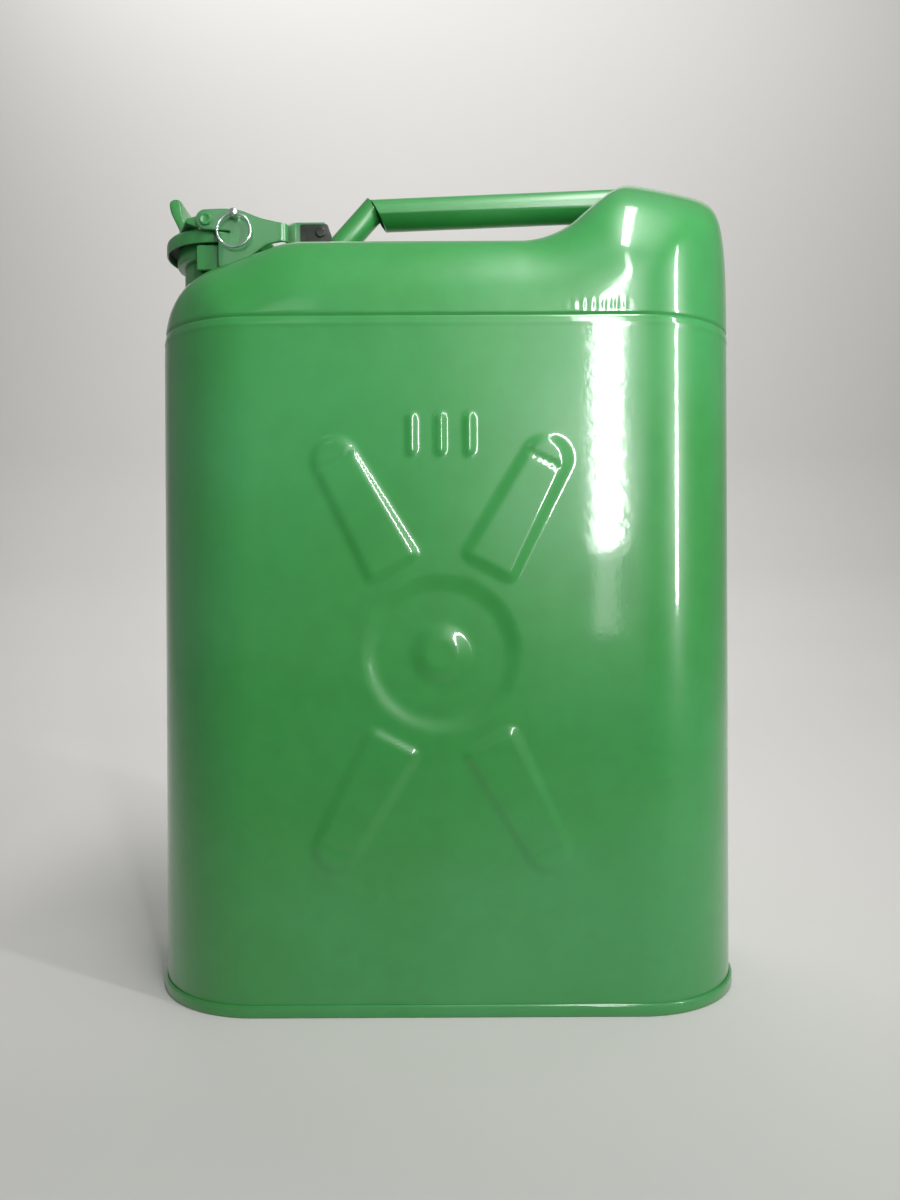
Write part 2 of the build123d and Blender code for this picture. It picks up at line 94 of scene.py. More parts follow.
def smooth(obj, angle=35.0):
    """Shade smooth, with edges sharper than the angle kept sharp."""
    bm = bmesh.new()
    bm.from_mesh(obj.data)
    bmesh.ops.remove_doubles(bm, verts=bm.verts, dist=1e-6)
    bmesh.ops.recalc_face_normals(bm, faces=bm.faces)
    limit = math.radians(angle)
    for face in bm.faces:
        face.smooth = True
    for edge in bm.edges:
        edge.smooth = len(edge.link_faces) == 2 and edge.calc_face_angle(0.0) < limit
    bm.to_mesh(obj.data)
    bm.free()
    return obj


def dress(obj, body, material, slot, *nodes):
    obj.data.materials.clear()
    obj.data.materials.append(material)
    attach(obj, body)
    if nodes:
        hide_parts(*nodes)
    return obj


def lathe(name, profile, origin, axis, steps=96):
    """A ring or cup from a closed profile of (radius, distance along the axis) in millimetres."""
    axis = Vector(axis).normalized()
    side = axis.orthogonal().normalized()
    other = axis.cross(side)
    verts = []
    for k in range(steps):
        turn = 2 * math.pi * k / steps
        out = side * math.cos(turn) + other * math.sin(turn)
        for r, h in profile:
            verts.append(Vector(origin) + axis * h + out * r)
    n = len(profile)
    faces = []
    for k in range(steps):
        a, b = k * n, (k + 1) % steps * n
        for i in range(n):
            j = (i + 1) % n
            faces.append((a + i, a + j, b + j, b + i))
    return smooth(obj_from(name, verts, faces))


def rounded(points, radius, steps=5):
    """A closed 2-D outline with its corners rounded, each as much as its sides allow."""
    pts = [np.array(p, float) for p in points]
    out = []
    for i, p in enumerate(pts):
        a, b = pts[i - 1] - p, pts[(i + 1) % len(pts)] - p
        la, lb = np.linalg.norm(a), np.linalg.norm(b)
        turn = math.acos(np.clip(np.dot(a, b) / (la * lb), -1, 1))
        reach = min(radius / max(math.tan(turn / 2), 1e-6), 0.45 * la, 0.45 * lb)
        start, end = p + a / la * reach, p + b / lb * reach
        if turn > math.radians(172):
            out.append(p)
            continue
        for k in range(steps + 1):
            t = k / steps
            out.append((1 - t) ** 2 * start + 2 * t * (1 - t) * p + t * t * end)
    return out


def curve_through(points, steps=8):
    """Points along a Catmull-Rom curve through the given points."""
    p = [np.array(q, float) for q in points]
    p = [2 * p[0] - p[1]] + p + [2 * p[-1] - p[-2]]
    out = []
    for i in range(1, len(p) - 2):
        for k in range(steps):
            t = k / steps
            out.append(
                0.5 * (2 * p[i] + (p[i + 1] - p[i - 1]) * t
                       + (2 * p[i - 1] - 5 * p[i] + 4 * p[i + 1] - p[i + 2]) * t * t
                       + (3 * p[i] - p[i - 1] - 3 * p[i + 1] + p[i + 2]) * t ** 3)
            )
    out.append(p[-2])
    return out


def circle(centre, radius, steps=48):
    return [
        np.array(centre) + radius * np.array([math.cos(a), math.sin(a)])
        for a in np.linspace(0, 2 * math.pi, steps, endpoint=False)
    ]


def plate(name, outline, low, high, bevel, holes=()):
    """A flat plate with rounded edges: its outline is in X and Z, low and high are its Y limits."""
    curve = bpy.data.curves.new(name, "CURVE")
    curve.dimensions = "2D"
    curve.fill_mode = "BOTH"
    curve.extrude = ((high - low) / 2 - bevel) * MM
    curve.bevel_depth = bevel * MM
    curve.bevel_resolution = 3
    curve.offset = -bevel * MM
    for loop in (outline, *holes):
        spline = curve.splines.new("POLY")
        spline.points.add(len(loop) - 1)
        for point, (x, z) in zip(spline.points, loop):
            point.co = (x * MM, z * MM, 0, 1)
        spline.use_cyclic_u = True
    maker = bpy.data.objects.new(name, curve)
    bpy.context.scene.collection.objects.link(maker)
    mesh = bpy.data.meshes.new_from_object(maker)
    bpy.data.objects.remove(maker)
    upright = Matrix.Rotation(math.pi / 2, 4, "X")
    mesh.transform(Matrix.Translation((0, (low + high) / 2 * MM, 0)) @ upright)
    obj = bpy.data.objects.new(name, mesh)
    bpy.context.scene.collection.objects.link(obj)
    return smooth(obj)


def join(name, *objs):
    """One object from several."""
    bm = bmesh.new()
    for obj in objs:
        bm.from_mesh(obj.data)
        bpy.data.objects.remove(obj)
    mesh = bpy.data.meshes.new(name)
    bm.to_mesh(mesh)
    bm.free()
    obj = bpy.data.objects.new(name, mesh)
    bpy.context.scene.collection.objects.link(obj)
    return obj


# ---------------------------------------------------------------- the can's form


def contour():
    """The outline in X and Z as lines and arcs, from the closure end over the hump."""
    parts = []
    place = [np.array([-HALF_W, -BELOW_GROUND]), math.pi / 2]

    def line(length):
        start = place[0]
        place[0] = start + length * np.array([math.cos(place[1]), math.sin(place[1])])
        parts.append(("line", start, place[0]))

    def arc(radius, turn):
        turn = math.radians(turn)
        side = math.copysign(1, turn)
        normal = side * np.array([-math.sin(place[1]), math.cos(place[1])])
        centre = place[0] + radius * normal
        first = math.atan2(*(place[0] - centre)[::-1])
        place[1] += turn
        place[0] = centre - radius * side * np.array([-math.sin(place[1]), math.cos(place[1])])
        parts.append(("arc", centre, radius, first + turn / 2, abs(turn) / 2, -side))

    def height(r, angle):
        return r * math.cos(math.radians(angle))

    shoulder, knee, foot, brow, crown, corner, flank = 58.5, 60, 50, 6, 44, 46, 309
    rise, climb, fall, lean = 20, 42, 32, 14
    wall_top, flank_over = 369.5, 0.4
    line(BELOW_GROUND + wall_top)
    arc(shoulder, rise - 90)
    line((TOP_Z - place[0][1] - knee * (1 - height(1, rise))) / math.sin(math.radians(rise)))
    arc(knee, -rise)
    climb_sine, fall_sine = math.sin(math.radians(climb)), math.sin(math.radians(fall))
    sloping = (CREST_Z - TOP_Z - (foot + brow) * (1 - height(1, climb))) / climb_sine
    run = (foot + brow) * climb_sine + sloping * height(1, climb)
    run += crown * fall_sine + corner * (height(1, lean) - fall_sine)
    run += flank * (1 - height(1, lean))
    line(HALF_W + flank_over - run - place[0][0])
    arc(foot, climb)
    line(sloping)
    arc(brow, -climb)
    arc(crown, -fall)
    arc(corner, fall + lean - 90)
    arc(flank, -lean)
    line(place[0][1] + BELOW_GROUND)
    return parts


PARTS = contour()


def contour_depth(x, z):
    """Signed distance to the outline, below zero inside."""
    best = np.full(x.shape, 1e9)
    sign = np.ones(x.shape)
    for part in PARTS:
        if part[0] == "line":
            start, end = part[1], part[2]
            length = np.linalg.norm(end - start)
            along = (end - start) / length
            t = np.clip((x - start[0]) * along[0] + (z - start[1]) * along[1], 0, length)
            dx, dz = x - start[0] - t * along[0], z - start[1] - t * along[1]
            far = np.hypot(dx, dz)
            side = np.sign(-along[1] * dx + along[0] * dz)
        else:
            _, centre, radius, middle, half, convex = part
            dx, dz = x - centre[0], z - centre[1]
            off = (np.arctan2(dz, dx) - middle + math.pi) % (2 * math.pi) - math.pi
            gap = np.hypot(dx, dz) - radius
            far = np.where(np.abs(off) <= half + 1e-6, np.abs(gap), 1e9)
            side = np.sign(gap) * convex
        take = far < best
        best = np.where(take, far, best)
        sign = np.where(take, side, sign)
    return best * np.where(sign == 0, 1, sign)


def inside(p):
    """Whether points are in the can: outline, rounded edges, arched top and the plan's corners."""
    x, y, z = p[..., 0], np.abs(p[..., 1]), p[..., 2]
    depth = contour_depth(x, z)
    near = np.clip(1 + depth / EDGE_REACH, 0, 1)
    edge = EDGE_R * (1 - np.sqrt(1 - near ** 2))
    level = (z - CREST_Z) * math.cos(FALL) + (x - CREST_X) * math.sin(FALL)
    up = np.clip(level - ARCH_FOOT, 0, SHOULDER_R)
    turned = HALF_D - SHOULDER_R + np.sqrt(SHOULDER_R ** 2 - up ** 2)
    over = np.sqrt(np.maximum(CROWN_R ** 2 - np.maximum(level + CROWN_R, 0) ** 2, 0))
    meeting = ARCH_UP * CROWN_R / (CROWN_R - SHOULDER_R) - CROWN_R
    arch = HALF_D - np.where(level > meeting, over, turned)
    out = np.clip(np.abs(x) - HALF_W + PLAN_R, 0, PLAN_R)
    corner = PLAN_R - np.sqrt(PLAN_R ** 2 - out ** 2)
    total = (edge ** 3 + arch ** 3 + corner ** 3) ** (1 / 3)
    return (depth < 0) & (np.abs(x) < HALF_W) & (y < HALF_D - total)


def reach(origin, way, far=260.0):
    """Points where rays from inside the can leave it."""
    low = np.zeros(origin.shape[:-1])
    high = np.full(origin.shape[:-1], far)
    for _ in range(34):
        mid = (low + high) / 2
        within = inside(origin + way * mid[..., None])
        low = np.where(within, mid, low)
        high = np.where(within, high, mid)
    return origin + way * low[..., None]


def level_row(core, normal, z, far=260.0):
    """The can's surface at one height, found along the normals from points inside it."""
    origin = np.column_stack([core, np.full(len(core), z)])
    way = np.column_stack([normal, np.zeros(len(core))])
    return reach(origin, way, far)


def plan_loop(flat, side, corner):
    """Points round the plan and their outward normals, counter-clockwise from the front's left."""
    points, normals = [], []
    fx, fy = HALF_W - PLAN_R, HALF_D - PLAN_R
    runs = [
        (np.array([-fx, -HALF_D]), np.array([fx, -HALF_D]), flat),
        (np.array([HALF_W, -fy]), np.array([HALF_W, fy]), side),
        (np.array([fx, HALF_D]), np.array([-fx, HALF_D]), flat),
        (np.array([-HALF_W, fy]), np.array([-HALF_W, -fy]), side),
    ]
    for k, (start, end, count) in enumerate(runs):
        facing = -math.pi / 2 + k * math.pi / 2
        for t in np.linspace(0, 1, count, endpoint=False):
            points.append(start + t * (end - start))
            normals.append([math.cos(facing), math.sin(facing)])
        centre = end - PLAN_R * np.array([math.cos(facing), math.sin(facing)])
        for a in np.linspace(facing, facing + math.pi / 2, corner, endpoint=False):
            normals.append([math.cos(a), math.sin(a)])
            points.append(centre + PLAN_R * np.array(normals[-1]))
    return np.array(points), np.array(normals)


def step(low, high, value):
    t = np.clip((value - low) / (high - low), 0, 1)
    return t * t * (3 - 2 * t)


STAR = np.array([-3.0, 201.0])
ARM_ANGLES = (61.5, 118.5, 241.5, 298.5)
ARM_START, ARM_END = 54.0, 123
ARM_HALF, ARM_NARROWING, ARM_TIP_R = 15.4, 3.2, 12.2
ARM_CORNER_END, ARM_CORNER_R = 57.5, 3
ARM_PROUD, DISH_SUNK, BOSS_PROUD, BAR_PROUD = 1.35, 1.5, 1.7, 1.1
BAR_PITCH, BAR_Z, BAR_HALF, BAR_R = 16, 323, 9, 3


def pressing(x, z):
    """How far the front face stands proud: four arms, a dish with a boss, and three bars."""
    u, v = x - STAR[0], z - STAR[1]
    rise = np.zeros(x.shape)
    for angle in ARM_ANGLES:
        a = math.radians(angle)
        along = u * math.cos(a) + v * math.sin(a)
        across = np.abs(-u * math.sin(a) + v * math.cos(a))
        t = np.clip((along - 56) / 67, 0, 1)
        half = ARM_HALF - ARM_NARROWING * t
        body = np.maximum(across - half, np.maximum(ARM_START - along, along - ARM_END))
        tip = np.hypot(np.maximum(along - ARM_END, 0), across) - ARM_TIP_R
        gap = np.where(along > ARM_END, tip, body)
        inward = np.maximum(across - half + ARM_CORNER_R, 0)
        corner = np.hypot(np.maximum(ARM_CORNER_END - along, 0), inward) - ARM_CORNER_R
        at_corner = (along < ARM_CORNER_END) & (across > half - ARM_CORNER_R)
        gap = np.where(at_corner, np.maximum(corner, gap), gap)
        rise = np.maximum(rise, ARM_PROUD * (1 - step(-3.6, 2.8, gap)))
    far = np.hypot(u, v)
    rise -= DISH_SUNK * (1 - step(34.5, 45.5, far))
    rise += BOSS_PROUD * (1 - step(7.5, 18.5, far))
    for k in (-1, 0, 1):
        gap = np.hypot(u - BAR_PITCH * k, np.maximum(np.abs(z - BAR_Z) - BAR_HALF, 0)) - BAR_R
        rise += BAR_PROUD * (1 - step(-1.9, 0.4, gap))
    return rise


def wave(x, z, seed):
    """Slight unevenness of a big pressed panel, smooth and repeatable."""
    rng = np.random.default_rng(seed)
    total = np.zeros(x.shape)
    for _ in range(14):
        length = rng.uniform(38, 130)
        angle = rng.uniform(0, math.pi)
        phase = rng.uniform(0, 2 * math.pi)
        along = x * math.cos(angle) + z * math.sin(angle)
        total += np.sin(along * 2 * math.pi / length + phase) * length / 130
    return total / 6


def grid_faces(rows, count):
    return [
        (a + k, a + (k + 1) % count, a + count + (k + 1) % count, a + count + k)
        for a in range(0, (rows - 1) * count, count) for k in range(count)
    ]


def torus_faces(around, section):
    return [
        (a + i, a + (i + 1) % section, b + (i + 1) % section, b + i)
        for a, b in ((k * section, (k + 1) % around * section) for k in range(around))
        for i in range(section)
    ]


def sleeve_mesh():
    """The wall with its pressed faces, turned in at the seam."""
    plan, normal = plan_loop(128, 12, 34)
    core = plan - 40 * normal
    turned_in = [(0.0, -2.0), (-0.08, -1.1), (-0.3, -0.35), (-0.6, 0.0)]
    levels = np.unique(np.concatenate([
        np.arange(6.0, 60, 5.0), np.arange(60, 345, 1.7), np.arange(345, 378, 3.0),
        np.arange(378, SEAM_LOW - 2.2, 0.8),
    ]))
    rows = [level_row(core, normal, z, 60) for z in levels]
    for inward, dz in turned_in:
        row = level_row(core, normal, SEAM_LOW + dz, 60)
        row[:, :2] += inward * normal
        rows.append(row)
    rows.append(rows[-1] - np.column_stack([0.9 * normal, np.full(len(plan), SEAM_LIP)]))
    p = np.array(rows)
    flat = step(0.80, 0.999, np.abs(normal[:, 1]))[None, :]
    facing = np.sign(normal[:, 1])[None, :]
    lift = np.where(np.abs(p[..., 0]) < 104, pressing(p[..., 0], p[..., 2]), 0)
    fade = step(6, 60, p[..., 2]) * (1 - step(350, 385, p[..., 2]))
    fade *= 1 - step(80, 112, np.abs(p[..., 0]))
    bulge = 0.12 * wave(p[..., 0], p[..., 2], 5) * fade
    ridge = 0.28 * np.exp(-(((p[..., 2] - SEAM_LOW + 4.2) / 1.3) ** 2))
    p[..., 1] += facing * flat * (lift + bulge)
    p[..., :2] += ridge[..., None] * normal[None]
    return obj_from("sleeve_skin", p.reshape(-1, 3), grid_faces(len(p), len(plan)))


def pan_mesh():
    """The top pressing, from the seam up over the shoulder and the hump."""
    plan, normal = plan_loop(128, 12, 34)
    core = plan - 60 * normal
    rows = []
    turned_in = [(-0.65, 0.0), (-0.3, 0.35), (-0.08, 1.1), (0.0, 2.0)]
    for inward, dz in turned_in:
        row = level_row(core, normal, SEAM_HIGH + dz)
        row[:, :2] += inward * normal
        rows.append(row)
    rows.insert(0, rows[0] - SEAM_LIP * UP)
    upward = np.tile(UP, (len(plan), 1))
    crest = reach(np.column_stack([core, np.full(len(plan), INSIDE_Z)]), upward)[:, 2]
    first = SEAM_HIGH + 2.6
    top = np.maximum(crest - 46, first)
    for t in np.linspace(0, 1, 74):
        angle = t * math.pi / 2
        rise = step(0, 0.75, t)
        origin = np.column_stack([core, first + (top - first) * rise])
        way = np.column_stack([normal * math.cos(angle), np.full(len(plan), math.sin(angle))])
        rows.append(reach(origin, way))
    spine = np.column_stack([core[:, 0] * 0.94, np.zeros(len(plan))])
    for t in np.linspace(0, 1, 13)[1:]:
        origin = np.column_stack([core + (spine - core) * t, top])
        rows.append(reach(origin, upward))
    p = np.array(rows)
    x, z = p[..., 0], p[..., 2]
    pucker = np.exp(-(((z - 394.6) / 2.6) ** 2)) * step(58, 72, x) * (1 - step(98, 106, x))
    pucker *= 0.16 * np.sin(x * 2 * math.pi / 4.7) + 0.10 * np.sin(x * 2 * math.pi / 3.1 + 1)
    pucker = pucker * step(0.9, 0.999, np.abs(normal[:, 1]))[None, :]
    p[..., 1] += np.sign(normal[:, 1])[None, :] * pucker
    return obj_from("top_skin", p.reshape(-1, 3), grid_faces(len(p), len(plan)))


def open_for_neck(obj, centre, radius):
    """Cuts the hole the neck stands in, and draws its edge onto a circle."""
    bm = bmesh.new()
    bm.from_mesh(obj.data)
    bmesh.ops.remove_doubles(bm, verts=bm.verts, dist=1e-5)

    def away(v):
        return math.hypot(v.co.x / MM - centre, v.co.y / MM)

    gone_above, drawn_above = 0.39, 0.40
    gone = [f for f in bm.faces if all(away(v) < radius and v.co.z > gone_above for v in f.verts)]
    bmesh.ops.delete(bm, geom=gone, context="FACES")
    for v in bm.verts:
        far = away(v)
        if 1e-3 < far < radius and v.co.z > drawn_above:
            v.co.x = (centre + (v.co.x / MM - centre) * radius / far) * MM
            v.co.y *= radius / far
    bm.to_mesh(obj.data)
    bm.free()


# ---------------------------------------------------------------- materials


def nodes_of(name):
    material = bpy.data.materials.new(name)
    material.use_nodes = True
    tree = material.node_tree
    bsdf = tree.nodes["Principled BSDF"]
    return material, tree, bsdf


def noise(tree, scale, detail=4.0, rough=0.55, stretch=(1, 1, 1)):
    place = tree.nodes.new("ShaderNodeTexCoord")
    mapping = tree.nodes.new("ShaderNodeMapping")
    mapping.inputs["Scale"].default_value = stretch
    texture = tree.nodes.new("ShaderNodeTexNoise")
    texture.inputs["Scale"].default_value = scale
    texture.inputs["Detail"].default_value = detail
    texture.inputs["Roughness"].default_value = rough
    tree.links.new(place.outputs["Object"], mapping.inputs["Vector"])
    tree.links.new(mapping.outputs["Vector"], texture.inputs["Vector"])
    return texture.outputs["Fac"]


def ramp(tree, source, low, high, start, end):
    node = tree.nodes.new("ShaderNodeMapRange")
    node.interpolation_type = "SMOOTHERSTEP"
    node.inputs["From Min"].default_value = low
    node.inputs["From Max"].default_value = high
    node.inputs["To Min"].default_value = start
    node.inputs["To Max"].default_value = end
    tree.links.new(source, node.inputs["Value"])
    return node.outputs["Result"]


def mixed(tree, fac, one, two):
    node = tree.nodes.new("ShaderNodeMix")
    node.data_type = "RGBA"
    tree.links.new(fac, node.inputs["Factor"])
    for socket, value in ((node.inputs["A"], one), (node.inputs["B"], two)):
        if isinstance(value, tuple):
            socket.default_value = (*value, 1)
        else:
            tree.links.new(value, socket)
    return node.outputs["Result"]


def bumped(tree, bsdf, height, distance, strength=1.0, coat=False):
    node = tree.nodes.new("ShaderNodeBump")
    node.inputs["Strength"].default_value = strength
    node.inputs["Distance"].default_value = distance
    tree.links.new(height, node.inputs["Height"])
    tree.links.new(node.outputs["Normal"], bsdf.inputs["Normal"])
    if coat:
        tree.links.new(node.outputs["Normal"], bsdf.inputs["Coat Normal"])


def enamel(name, colour, pale, reflection_patch_strength=0.35, peel=1.0, rough=(0.285, 0.40)):
    material, tree, bsdf = nodes_of(name)
    # Soft noise patches mix the paint toward its pale colour: a painted reflection of the room's
    # light on the slightly wavy sheet.
    painted_reflection_patches = ramp(tree, noise(tree, 6, 3, 0.5), 0.30, 0.80, 0, reflection_patch_strength)
    mottle = ramp(tree, noise(tree, 75, 3), 0.3, 0.7, 0, 0.35)
    dark = tuple(0.82 * c for c in colour)
    base = mixed(tree, mottle, colour, dark)
    tree.links.new(mixed(tree, painted_reflection_patches, base, pale), bsdf.inputs["Base Color"])
    tree.links.new(ramp(tree, noise(tree, 9, 3, 0.5), 0.2, 0.8, *rough), bsdf.inputs["Roughness"])
    bsdf.inputs["IOR"].default_value = 1.5
    bsdf.inputs["Coat Weight"].default_value = 0.8
    bsdf.inputs["Coat Roughness"].default_value = 0.07
    bumped(tree, bsdf, noise(tree, 260, 2, 0.5), 0.00006 * peel, 1.0, coat=True)
    return material


# Each enamel's second colour is the pale tint of its painted reflection patches.
green = enamel("green_enamel", (0.026, 0.250, 0.042), (0.07, 0.36, 0.14), peel=0.35)
green_small = enamel(
    "green_enamel_small", (0.026, 0.230, 0.045), (0.06, 0.28, 0.10), 0.3, 0.7, (0.36, 0.48))
closure_paint = enamel(
    "closure_enamel", (0.030, 0.215, 0.050), (0.07, 0.29, 0.13), 0.4, 0.6, (0.29, 0.36))
green_small.node_tree.nodes["Principled BSDF"].inputs["Coat Roughness"].default_value = 0.30
closure_paint.node_tree.nodes["Principled BSDF"].inputs["IOR"].default_value = 1.75
closure_paint.node_tree.nodes["Principled BSDF"].inputs["Coat Roughness"].default_value = 0.16


def zinc(name, colour, low, high):
    material, tree, bsdf = nodes_of(name)
    bsdf.inputs["Metallic"].default_value = 1.0
    dull = tuple(0.8 * c for c in colour)
    shade = mixed(tree, ramp(tree, noise(tree, 180, 4), 0.35, 0.65, 0, 1), colour, dull)
    tree.links.new(shade, bsdf.inputs["Base Color"])
    tree.links.new(ramp(tree, noise(tree, 320, 3), 0.3, 0.7, low, high), bsdf.inputs["Roughness"])
    bumped(tree, bsdf, noise(tree, 700, 2), 0.00002)
    return material


plated = zinc("zinc_plate", (0.80, 0.84, 0.85), 0.16, 0.26)
steel = zinc("plain_steel", (0.50, 0.51, 0.52), 0.28, 0.45)


def dark_coat(name, colour, rough):
    material, tree, bsdf = nodes_of(name)
    worn = tuple(2.2 * c for c in colour)
    shade = mixed(tree, ramp(tree, noise(tree, 120, 5), 0.4, 0.7, 0, 1), colour, worn)
    tree.links.new(shade, bsdf.inputs["Base Color"])
    uneven = ramp(tree, noise(tree, 90, 4), 0.3, 0.7, rough - 0.08, rough + 0.1)
    tree.links.new(uneven, bsdf.inputs["Roughness"])
    bumped(tree, bsdf, noise(tree, 500, 3), 0.00004)
    return material


# The near-black coat made here is painted shade: the hinge ears and hinge pin are coloured near
# black to stand for the deep shade they sit in.
hinge_shade_black = dark_coat("black_paint", (0.012, 0.016, 0.011), 0.38)
rubber = dark_coat("gasket_rubber", (0.018, 0.018, 0.018), 0.75)

# ---------------------------------------------------------------- body

NECK_X = (mm("filler_neck")[0][0] + mm("filler_neck")[1][0]) / 2
NECK_R = (mm("filler_neck")[1][1] - mm("filler_neck")[0][1]) / 2

sleeve = smooth(sleeve_mesh(), 50)
dress(sleeve, "can", green, "green_paint", "body_sleeve")
pan = pan_mesh()
open_for_neck(pan, NECK_X, NECK_R - 0.5)
smooth(pan, 50)
dress(pan, "can", green, "green_paint", "top_pan")


def rim_mesh():
    """The base pressing: a flat floor and the folded rim round it."""
    plan, normal = plan_loop(60, 10, 30)
    proud, top = rim_high[1] - HALF_D, rim_high[2]
    floor_z = 6.0
    profile = [
        (-6.0, floor_z), (-2.4, floor_z), (-2.05, 5.7), (-2.0, 5.2), (-2.0, 0.7), (-1.8, 0.25),
        (-1.3, 0.0), (proud - 0.9, 0.0), (proud - 0.35, 0.2), (proud, 0.8), (proud, top - 1.2),
        (proud - 0.25, top - 0.5), (proud - 0.7, top - 0.12), (0.25, top), (-0.2, top - 0.1),
        (-0.2, top - 1.0),
    ]
    rows = [
        np.column_stack([plan + out * normal, np.full(len(plan), z)]) for out, z in profile
    ]
    for inset in (20, 40, 58):
        core = plan - inset * normal
        rows.insert(0, np.column_stack([core, np.full(len(plan), floor_z)]))
    spine = core[:, 0] * 0.9
    rows.insert(0, np.column_stack([spine, np.zeros(len(plan)), np.full(len(plan), floor_z)]))
    return obj_from("rim_skin", np.array(rows).reshape(-1, 3), grid_faces(len(rows), len(plan)))


rim = smooth(rim_mesh(), 60)
dress(rim, "can", green, "green_paint", "bottom_pan")

# ---------------------------------------------------------------- handle


def cut_tube(name, origin, way, radius, wall, first, last, steps=72):
    """A tube whose ends are found, for each line along it, by first and last (point, way)."""
    way = Vector(way).normalized()
    up = Vector((0, 1, 0))
    side = way.cross(up)
    rings = []
    for r in (radius, radius - wall):
        near, far = [], []
        for k in range(steps):
            a = 2 * math.pi * k / steps
            p = Vector(origin) + (up * math.cos(a) + side * math.sin(a)) * r
            near.append(p + way * first(p, way))
            far.append(p + way * last(p, way))
        rings.append((near, far))
    (on, of), (inn, inf) = rings
    loops = [
        [a.lerp(b, 0.06 / max((a - b).length, 0.06)) for a, b in zip(inn, inf)],
        inn,
        [a.lerp(b, 0.25) for a, b in zip(inn, on)],
        [a.lerp(b, 0.75) for a, b in zip(inn, on)],
        [a + (b - a).normalized() * 0.3 for a, b in zip(on, of)],
        [b + (a - b).normalized() * 0.3 for a, b in zip(on, of)],
        [a.lerp(b, 0.75) for a, b in zip(inf, of)],
        [a.lerp(b, 0.25) for a, b in zip(inf, of)],
        inf,
    ]
    points = [p for loop in loops for p in loop]
    faces = grid_faces(len(loops), steps)
    last_row = (len(loops) - 1) * steps
    faces += [(last_row + k, last_row + (k + 1) % steps, (k + 1) % steps, k) for k in range(steps)]
    return smooth(obj_from(name, points, faces), 50)


def plane_hit(point, normal):
    point, normal = Vector(point), Vector(normal)
    return lambda p, way: (point - p).dot(normal) / way.dot(normal)


def can_hit(start, sign, gap, limit=None):
    """Distance along a line to the can's surface, less a gap, or to the limit if that is nearer."""
    def find(p, way):
        ts = np.arange(0, 160, 0.05)
        pts = np.array(p)[None] + np.array(way)[None] * (start + sign * ts)[:, None]
        within = inside(pts)
        past = limit(p, way) if limit else sign * 1e9
        if not within.any():
            return past
        hit = start + sign * (ts[np.argmax(within)] - gap)
        return min(hit, past) if sign > 0 else max(hit, past)
    return find


TUBE_WALL = 1.5
GRIP_FROM = (-47.0, 0, 477.2)
slope = math.radians(2.16)
grip_way = (math.cos(slope), 0, math.sin(slope))
mitre = math.radians(28.5)
mitre_way = (math.cos(mitre), 0, math.sin(mitre))
end_cut = math.radians(42)
grip_limit = plane_hit((95.0, 0, 466.5), (math.sin(end_cut), 0, -math.cos(end_cut)))
grip_end = can_hit(40.0, 1, 0.25, grip_limit)


def grip_cap(radius=8.6, set_back=0.6, steps=72):
    """The disc that closes the grip's tube just inside its hump end."""
    way, up = Vector(grip_way), Vector((0, 1, 0))
    side = way.cross(up)
    edge = []
    for k in range(steps):
        a = 2 * math.pi * k / steps
        p = Vector(GRIP_FROM) + (up * math.cos(a) + side * math.sin(a)) * radius
        edge.append(p + way * (grip_end(p, way) - set_back))
    return obj_from("grip_cap", edge, [tuple(range(steps))])


grip = cut_tube(
    "grip_tube", GRIP_FROM, grip_way, 10.0, TUBE_WALL,
    plane_hit((-48.8, 0, 488.0), mitre_way), grip_end,
)
grip = smooth(join("grip_tube", grip, grip_cap()), 50)
dress(grip, "can", green_small, "green_paint", "handle_grip")
post_lean = math.radians(48)
post = cut_tube(
    "post_tube", (-66.16, 0, 458.45), (math.cos(post_lean), 0, math.sin(post_lean)), 8.0, TUBE_WALL,
    can_hit(0.0, -1, -0.5), plane_hit((-49.1, 0, 487.9), mitre_way),
)
dress(post, "can", green_small, "green_paint", "handle_post")

# ---------------------------------------------------------------- neck and mouth

neck = lathe(
    "neck_tube", [(22.8, 392), (24.0, 392), (24.0, 446), (22.8, 446)], (NECK_X, 0, 0), (0, 0, 1)
)
dress(neck, "can", green_small, "green_paint", "filler_neck")
mouth = lathe(
    "mouth_bead",
    [(24.05, 441.2), (26.6, 441.0), (28.0, 441.6), (28.5, 442.8), (28.5, 449.6), (28.1, 451.0),
     (26.9, 451.8), (25.4, 452.0), (23.8, 451.9), (23.0, 451.3), (22.8, 450.4), (22.8, 446.05),
     (24.05, 446.05)],
    (NECK_X, 0, 0), (0, 0, 1),
)
dress(mouth, "can", green_small, "green_paint", "mouth_ring")


def foot_bead():
    """The brazed bead where the neck enters the top pressing."""
    bead_r, round_neck, round_bead = 1.25, 120, 8
    verts = []
    for k in range(round_neck):
        a = 2 * math.pi * k / round_neck
        out = np.array([math.cos(a), math.sin(a), 0])
        foot = np.array([NECK_X, 0, INSIDE_Z]) + NECK_R * out
        centre = reach(foot[None], UP[None])[0]
        for i in range(round_bead):
            b = 2 * math.pi * i / round_bead
            verts.append(centre + bead_r * (math.cos(b) * out + math.sin(b) * UP))
    return smooth(obj_from("neck_bead", verts, torus_faces(round_neck, round_bead)), 80)


dress(foot_bead(), "can", green_small, "green_paint")

